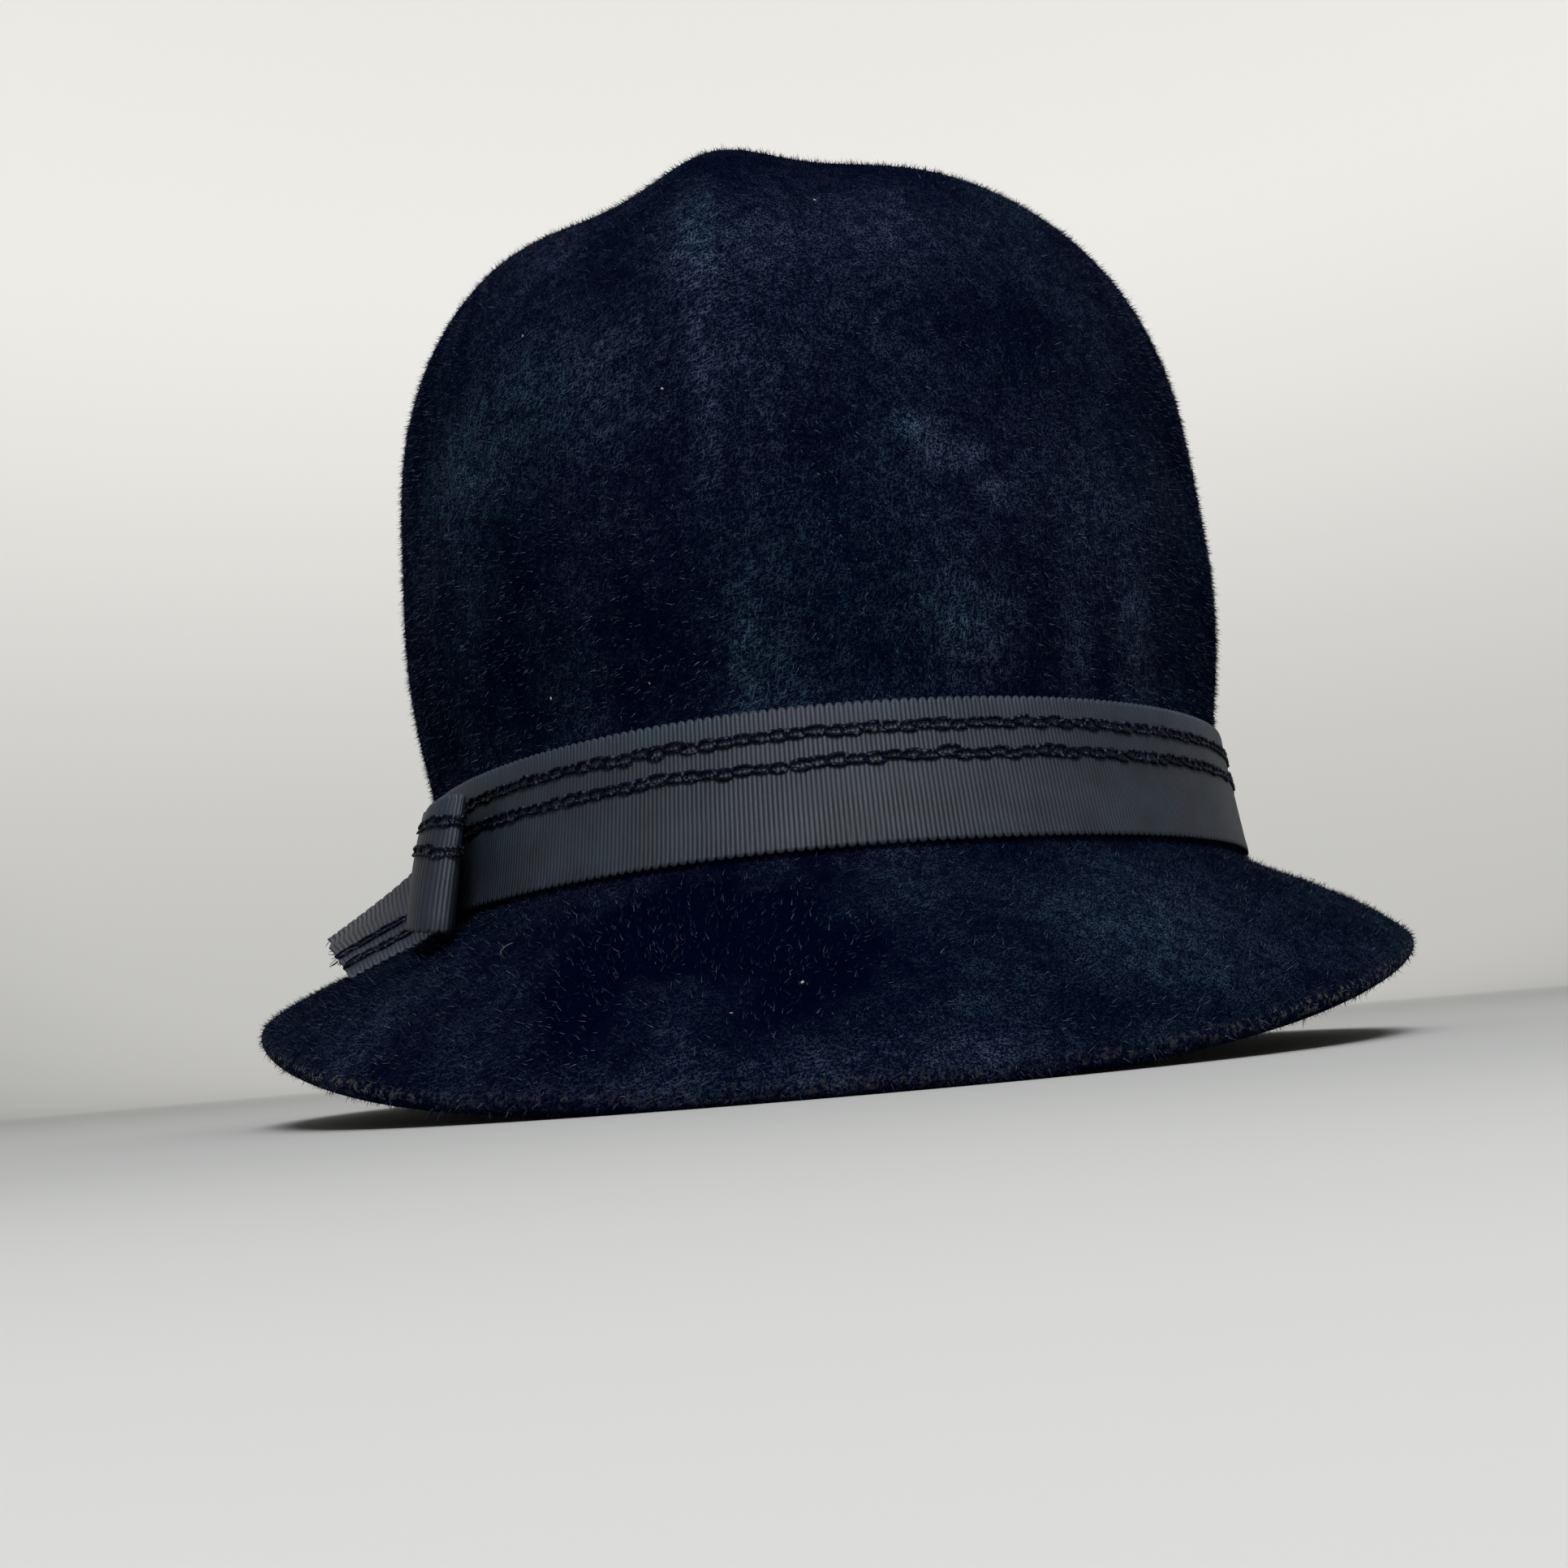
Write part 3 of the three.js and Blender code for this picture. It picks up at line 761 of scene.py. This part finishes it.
# Thin round fibres, each along its own row of points, thinner and closed at both ends.
def fibres(name, paths, radii, sides=4):
    count, steps = paths.shape[:2]
    ahead = np.gradient(paths, axis=1)
    ahead /= np.linalg.norm(ahead, axis=2, keepdims=True)
    sideways = np.cross(ahead, np.array([0.31, 0.87, 0.38]))     # a slant that no fibre follows
    sideways /= np.linalg.norm(sideways, axis=2, keepdims=True)
    upright = np.cross(ahead, sideways)
    taper = np.ones(steps)
    taper[[0, -1]] = 0.25      # of the full thickness, at both ends
    angle = np.arange(sides) * math.tau / sides
    ring = (np.cos(angle)[:, None] * sideways[:, :, None] + np.sin(angle)[:, None] * upright[:, :, None])
    points = paths[:, :, None] + ring * taper[None, :, None, None] * radii[:, None, None, None]
    base = np.arange(count)[:, None, None] * steps * sides
    here = np.arange(steps - 1)[:, None] * sides + np.arange(sides)
    beside = np.arange(steps - 1)[:, None] * sides + (np.arange(sides) + 1) % sides
    walls = np.stack([here, beside, beside + sides, here + sides], 2)
    walls = (base[..., None] + walls[None]).reshape(-1, 4)
    starts = base[:, 0] + np.arange(sides)[::-1]
    ends = base[:, 0] + (steps - 1) * sides + np.arange(sides)
    return meshFromArrays(name, points.reshape(-1, 3), np.concatenate([walls, starts, ends]))


def joinMeshes(name, meshes):
    bm = bmesh.new()
    for mesh in meshes:
        bm.from_mesh(mesh)
        bpy.data.meshes.remove(mesh)
    bmesh.ops.recalc_face_normals(bm, faces=bm.faces)
    mesh = bpy.data.meshes.new(name)
    bm.to_mesh(mesh)
    bm.free()
    return mesh


def stitchRibbon(name, start, end, place):
    rows = [chainRow(f"{name}_{index}", start, end, up, place)
            for index, up in enumerate(stitch["rows"])]
    piece = addPiece(name, joinMeshes(name, rows), thread)
    dressPiece(piece, "ribbed_ribbon")
    return piece


bandPiece = weaveRibbon("band_ribbon", bandLength, onTheBand, closed=True)
dressPiece(bandPiece, "ribbed_ribbon", "ribbon_band")
bandStitches = stitchRibbon("band_stitches", 0, bandLength, onTheBand)
print("The band is", round(bandLength / mm), "mm round.")


# The bow's loop, which stands beside the band with its fold to the front.
loop = {
    "frontY": -74 * mm,       # where it folds round
    "length": 20 * mm,
    "foot": 0.6 * mm,         # its lower edge above the crown's foot, at the back
    "dip": 4.8 * mm,          # how much lower its folded end is
    "flare": 4 * mm,          # how far the foot of that end stands out beyond its top
    "tuck": 0.24,             # of the outer ply's reach, lost at its upper edge
    "outerPly": (2 * mm, 7.5 * mm),    # ways out from the band: inner up to here, outer from here
    "droop": 3.8 * mm,                 # of its upper edge, towards the back:
    "droopOuter": (1 * mm, 11 * mm),   # where that starts and is full on the outer ply,
    "droopBack": (7 * mm, 14 * mm),    # and on both
    "sewn": (5 * mm, 17 * mm),         # where it starts to lean with the crown, and is sewn to it
    "sewnOuter": 0.5,                  # how much less the outer ply leans
    "seam": 0.45,                      # of the way round
    "steps": 240,
}
# The loop from above: how far back from its fold, and how far out from the band, in millimetres.
loopPlies = [
    (0.8, 3.2), (5, 1.2), (12, 0.75), (20, 0.75), (21.6, 1.6),
    (19, 3.0), (13, 5.8), (7, 7.8), (2, 7.8), (-0.4, 5.4),
]
loopLine, loopLength = closedLine(np.array(loopPlies) * mm, loop["steps"])


# How far a value has come from the first of two to the second, from 0 to 1.
def wayFrom(ends, value):
    return np.clip((value - ends[0]) / (ends[1] - ends[0]), 0, 1)


# A point of the loop, whose way along starts at a seam hidden between its plies.
def onTheLoop(along, up, out):
    mark = np.mod(along / loopLength + loop["seam"], 1) * (len(loopLine) - 1)
    marks = np.arange(len(loopLine))
    back, away = (np.interp(mark, marks, column) for column in loopLine.T)
    ahead = np.roll(loopLine[:-1], -1, axis=0) - np.roll(loopLine[:-1], 1, axis=0)
    ahead = np.append(ahead, ahead[:1], axis=0)
    aheadBack, aheadOut = (np.interp(mark, marks, column) for column in ahead.T)
    size = np.hypot(aheadBack, aheadOut)
    middle = out - ribbon["thickness"] / 2
    back = back + aheadOut / size * middle
    away = away - aheadBack / size * middle
    reach = np.clip(1 - back / loop["length"], 0, None)
    share = up / ribbon["width"]
    outer = wayFrom(loop["outerPly"], away)
    away = away * (1 - loop["tuck"] * outer * share ** 2)
    lowered = np.maximum(outer * wayFrom(loop["droopOuter"], back), wayFrom(loop["droopBack"], back))
    height = loop["foot"] + up - loop["dip"] * reach - loop["droop"] * lowered * share ** 3
    flare = loop["flare"] * (1 - share) * reach
    turn = leftTurn(loop["frontY"] + back)
    sewn = wayFrom(loop["sewn"], back) * (1 - loop["sewnOuter"] * outer)
    away = away - sewn * crownLean(turn, height)
    return besideCrown(turn, onBand + away + flare, height)


loopPiece = weaveRibbon("loop_ribbon", loopLength, onTheLoop, closed=True)
dressPiece(loopPiece, "ribbed_ribbon", "bow_loop")
loopStitches = stitchRibbon("loop_stitches", 0, loopLength, onTheLoop)
print("The loop is", round(loopLength / mm, 1), "mm round.")


# The bow's tail, which runs from under the loop out over the brim.
tail = {
    "frontY": -50 * mm,       # the edge that lies on the brim
    "start": 0.8 * mm,        # out from the crown's foot
    "end": 16.6 * mm,
    "sunk": 0.35 * mm,        # how far that edge lies in the nap
    "rise": 15 * mm,          # how much higher its other edge stands, beside the band
    "endRise": 9 * mm,
    "arch": 0.6 * mm,         # how far the cut end rises between its edges
    "skew": 2.5 * mm,         # how much further out its upper edge is cut
    "steps": 24,
    "fray": 0.35 * mm,        # how uneven its cut end is
    "plainEnd": 0.5 * mm,     # beyond the last stitch
    "frayedThreads": 16,
    "threadSteps": 7,
    "threadStep": (0.08 * mm, 0.28 * mm),
    "threadRadius": (0.05 * mm, 0.09 * mm),
    "curl": 0.55,
}


# The top of the felt under each point, from a ray that starts above the brim.
def brimHeights(points):
    start = bandLow.z + 5 * mm
    hits = [feltTree.ray_cast(Vector((x, y, start)), Vector((0, 0, -1)))[0] for x, y in points]
    return np.array([hit.z for hit in hits])


tailSteps = np.linspace(0, 1, tail["steps"])
frontTurn = np.full(len(tailSteps), leftTurn(tail["frontY"]))
tailOuts = tail["start"] + tailSteps * (tail["end"] - tail["start"])
tailFront = besideCrown(frontTurn, tailOuts, np.zeros(len(tailSteps)))
tailFelt = brimHeights(tailFront[:, :2])
tailLength = tail["end"] - tail["start"]


# A point by its way out along the tail, its height up the ribbon and its way off its back face.
def onTheTail(along, up, out):
    share = 1 - up / ribbon["width"]     # the stitched edge lies in front
    way = along / tailLength
    rise = tail["rise"] + (tail["endRise"] - tail["rise"]) * way
    spread = np.sqrt(ribbon["width"] ** 2 - rise ** 2)
    uneven = np.sin(up / mm * 2.1) + np.sin(up / mm * 5.3 + 1)
    away = tail["start"] + along + (tail["skew"] * share + tail["fray"] * uneven) * way ** 2
    point = besideCrown(leftTurn(tail["frontY"] + spread * share), away, 0 * away)
    ground = np.interp(way, tailSteps, tailFelt)
    lean = np.stack([np.zeros(len(up)), -rise, spread], axis=1)
    lean /= np.linalg.norm(lean, axis=1, keepdims=True)
    arch = tail["arch"] * np.sin(math.pi * share) * way
    point[:, 2] = ground - tail["sunk"] + rise * share + arch
    return point + lean * out[:, None]


tailPiece = weaveRibbon("tail_ribbon", tailLength, onTheTail)
dressPiece(tailPiece, "ribbed_ribbon", "bow_tail")
tailStitches = stitchRibbon("tail_stitches", 0, tailLength - tail["plainEnd"], onTheTail)


# Loose threads at the cut end, each one curling its own way.
def frayTail(count):
    steps = np.arange(tail["threadSteps"])
    starts = onTheTail(np.full(count, tailLength - 0.4 * mm), random.uniform(0.5, 22.5, count) * mm,
                       random.uniform(0.2, 0.8, count) * mm)
    middle = np.full(count, 12 * mm)     # up the ribbon, where the tail's direction is taken
    away = onTheTail(np.full(count, tailLength), middle, np.zeros(count)) \
        - onTheTail(np.full(count, tailLength - mm), middle, np.zeros(count))
    away /= np.linalg.norm(away, axis=1, keepdims=True)
    curl = random.normal(0, 1, (count, 3)) * tail["curl"]
    length = random.uniform(*tail["threadStep"], (count, 1, 1))
    bend = steps[None, :, None] ** 2 * 0.09
    paths = starts[:, None] + length * (steps[None, :, None] * away[:, None] + bend * curl[:, None])
    return fibres("tail_threads", paths, random.uniform(*tail["threadRadius"], count))


tailThreads = addPiece("tail_threads", frayTail(tail["frayedThreads"]), thread)
dressPiece(tailThreads, "ribbed_ribbon")
print("The tail is", round(tailLength / mm, 1), "mm long.")


# The nap, which is separate hairs all over the outside of the felt.
nap = {
    "pieces": 4,
    "hairsEach": 40000,
    "length": (0.7 * mm, 1.7 * mm),
    "width": 0.13 * mm,
    "sunk": 0.1 * mm,
    "lean": 1.25,              # how far hairs lean, against how far they stand up:
    "standing": 0.4,           # this share of them stands up more,
    "stand": 1.6,
    "lie": 0.5,                # and the others less
    "swirl": 0.7,              # how well they follow the way that the nap lies,
    "scatter": 0.75,           # and how much each goes its own way
    "strays": 0.05,            # the share that stands away from the others,
    "strayStand": 2.4,
    "strayLength": (1.0 * mm, 1.8 * mm),
    # strays are painted paler, partly pale hairs and partly painted backlight where they stand at the
    # silhouette
    "strayTone": (0.1, 0.5),
    "pale": 0.014,             # and the share that is paler than the rest
    "paleTone": 0.85,
    "underBrim": 0.6,          # how thickly they grow there, against the rest,
    "atFold": 0.6,             # and on the brim's worn fold
    "bandReach": 1.03,         # how far out the band covers the felt, against the crown's foot:
    "bareFrom": 0.5 * mm,      # there, none grow from this far below its lower edge
    "bareTo": 0.6 * mm,        # to this far below its upper one,
    "bareFoot": 0.3 * mm,      # nor anywhere this close to the floor
    "lowestTip": 0.02 * mm,
    "deep": (0.0007, 0.0016, 0.0085),
    "lit": (0.0880, 0.1130, 0.1640),
}


def napFinish():
    wires, finish = newFinish("felt_nap")
    tone = wires.node("ShaderNodeAttribute", {"attribute_name": "tone"}, output="Fac")
    return finish({
        "Base Color": tone.mix(nap["deep"], nap["lit"]),
        "Roughness": 0.7,
        "Specular IOR Level": 0.0,
    })


# How thickly the hairs stand at each triangle of the felt: none behind the band or inside.
def napDensity(middles, normals):
    outside, fold = feltSides(middles, normals)
    low, high = edgesAt(ovalTurns(middles))
    fromAxis = np.hypot((middles[:, 0] - axis.x) / halfWidth, (middles[:, 1] - axis.y) / halfDepth)
    height = middles[:, 2]
    hidden = fromAxis < nap["bandReach"]
    hidden &= (height > low - nap["bareFrom"]) & (height < high - nap["bareTo"])
    density = np.where(outside > 0.5, 1.0, 0.0)
    density = np.where(normals[:, 2] < -0.5, density * nap["underBrim"], density)
    density *= 1 - (1 - nap["atFold"]) * fold
    density[hidden | (height < nap["bareFoot"])] = 0
    return density


corners = feltPoints[feltTriangles]
crossed = np.cross(corners[:, 1] - corners[:, 0], corners[:, 2] - corners[:, 0])
areas = np.linalg.norm(crossed, axis=1) / 2
triangleNormals = crossed / np.maximum(2 * areas[:, None], 1e-12)
weights = areas * napDensity(corners.mean(axis=1), triangleNormals)


# Each hair is a thin closed spike. It leans the way the nap lies, which drifts over the felt.
def growNap(name, count, material):
    chosen = random.choice(len(weights), count, p=weights / weights.sum())
    first, second = np.sqrt(random.random(count)), random.random(count)
    shares = np.stack([1 - first, first * (1 - second), first * second], axis=1)
    roots = (corners[chosen] * shares[..., None]).sum(axis=1)
    normals = (feltNormals[feltTriangles[chosen]] * shares[..., None]).sum(axis=1)
    normals /= np.linalg.norm(normals, axis=1, keepdims=True)
    drift = random.normal(0, 1, (count, 3))
    swirl = np.stack([
        np.sin(roots[:, 2] * 70 + roots[:, 0] * 40),
        np.cos(roots[:, 1] * 55 - roots[:, 2] * 30),
        -1.2 + 0.8 * np.sin(roots[:, 0] * 80 + roots[:, 1] * 30),
    ], axis=1)
    lean = nap["scatter"] * drift + nap["swirl"] * swirl
    lean -= normals * (lean * normals).sum(axis=1, keepdims=True)
    lean /= np.linalg.norm(lean, axis=1, keepdims=True)
    stand = np.where(random.random((count, 1)) < nap["standing"], nap["stand"], nap["lie"])
    stand = stand * random.uniform(0.5, 1.2, (count, 1))
    stray = random.random((count, 1)) < nap["strays"]
    stand = np.where(stray, nap["strayStand"], stand)
    ways = normals * stand + lean * nap["lean"] * random.uniform(0.5, 1.0, (count, 1))
    ways /= np.linalg.norm(ways, axis=1, keepdims=True)
    lengths = random.uniform(*nap["length"], (count, 1)) * (0.6 + 0.4 * random.random((count, 1)))
    lengths = np.where(stray, random.uniform(*nap["strayLength"], (count, 1)), lengths)
    sides = np.cross(ways, normals)
    sides /= np.maximum(np.linalg.norm(sides, axis=1, keepdims=True), 1e-9)
    fronts = np.cross(sides, ways)
    width = nap["width"] * np.where(stray, 0.8, random.uniform(0.7, 1.3, (count, 1)))
    base = roots - normals * nap["sunk"]
    spikes = np.stack([
        base + sides * width / 2,
        base - sides * width / 2,
        base - fronts * width * 0.8,
        roots + ways * lengths,
    ], axis=1)
    spikes[..., 2] = np.maximum(spikes[..., 2], nap["lowestTip"])
    pattern = np.array([[0, 1, 2], [0, 3, 1], [1, 3, 2], [2, 3, 0]])
    faces = (np.arange(count)[:, None, None] * 4 + pattern).reshape(-1, 3)
    mesh = meshFromArrays(name, spikes.reshape(-1, 3), faces)
    tone = random.beta(0.4, 2.1, count)
    tone = np.where(random.random(count) < nap["pale"], nap["paleTone"], tone)
    tone = np.where(stray[:, 0], random.uniform(*nap["strayTone"], count), tone)
    marked(mesh, "tone", np.repeat(tone, 4))
    piece = addPiece(name, mesh, material)
    mesh.shade_flat()
    dressPiece(piece, "velour_felt")
    return piece


napMaterial = napFinish()
for index in range(nap["pieces"]):
    growNap(f"nap_{index + 1}", nap["hairsEach"], napMaterial)
print("The nap has", nap["pieces"] * nap["hairsEach"], "hairs.")


# Lint, which is pale specks and a few loose hairs.
lint = {
    "specks": 16,
    "hairs": 12,
    "speckSize": (0.10 * mm, 0.20 * mm),
    "speckLength": 0.5 * mm,
    "hairLength": (2.0 * mm, 5.0 * mm),
    "hairRadius": 0.05 * mm,
    "hairTurn": (1.5, 4.5),     # of its curl, in radians
    "steps": 9,
    "above": 1.0 * mm,
    "grey": (0.16, 0.16, 0.15),
    "pale": (0.42, 0.41, 0.38),
}


def lintFinish():
    wires, finish = newFinish("pale_lint")
    place = wires.node("ShaderNodeTexCoord", output="Object")
    colour = place.noise(60.0, 1.0, 0.5).ramp(0.35, 0.65).mix(lint["grey"], lint["pale"])
    return finish({"Base Color": colour, "Roughness": 0.8, "Specular IOR Level": 0.1})


# Specks are very short fibres. Hairs lie along the felt in a loose curl.
def scatterLint():
    count = lint["specks"] + lint["hairs"]
    long = np.arange(count) >= lint["specks"]
    chosen = random.choice(len(weights), count, p=weights / weights.sum())
    normals = triangleNormals[chosen]
    roots = corners[chosen].mean(axis=1) + normals * lint["above"]
    first = np.cross(normals, random.normal(0, 1, (count, 3)))
    first /= np.linalg.norm(first, axis=1, keepdims=True)
    second = np.cross(normals, first)
    length = np.where(long, random.uniform(*lint["hairLength"], count), lint["speckLength"])
    turn = np.where(long, random.uniform(*lint["hairTurn"], count), 0.5)
    steps = np.linspace(0, 1, lint["steps"])
    angle = turn[:, None] * steps
    radius = (length / turn)[:, None]
    paths = roots[:, None] + (radius * np.sin(angle))[..., None] * first[:, None] \
        + (radius * (1 - np.cos(angle)))[..., None] * second[:, None]
    radii = np.where(long, lint["hairRadius"], random.uniform(*lint["speckSize"], count))
    return fibres("lint", paths, radii)


lintPiece = addPiece("lint", scatterLint(), lintFinish())
dressPiece(lintPiece, "velour_felt")
print("Lint is scattered over the felt.")
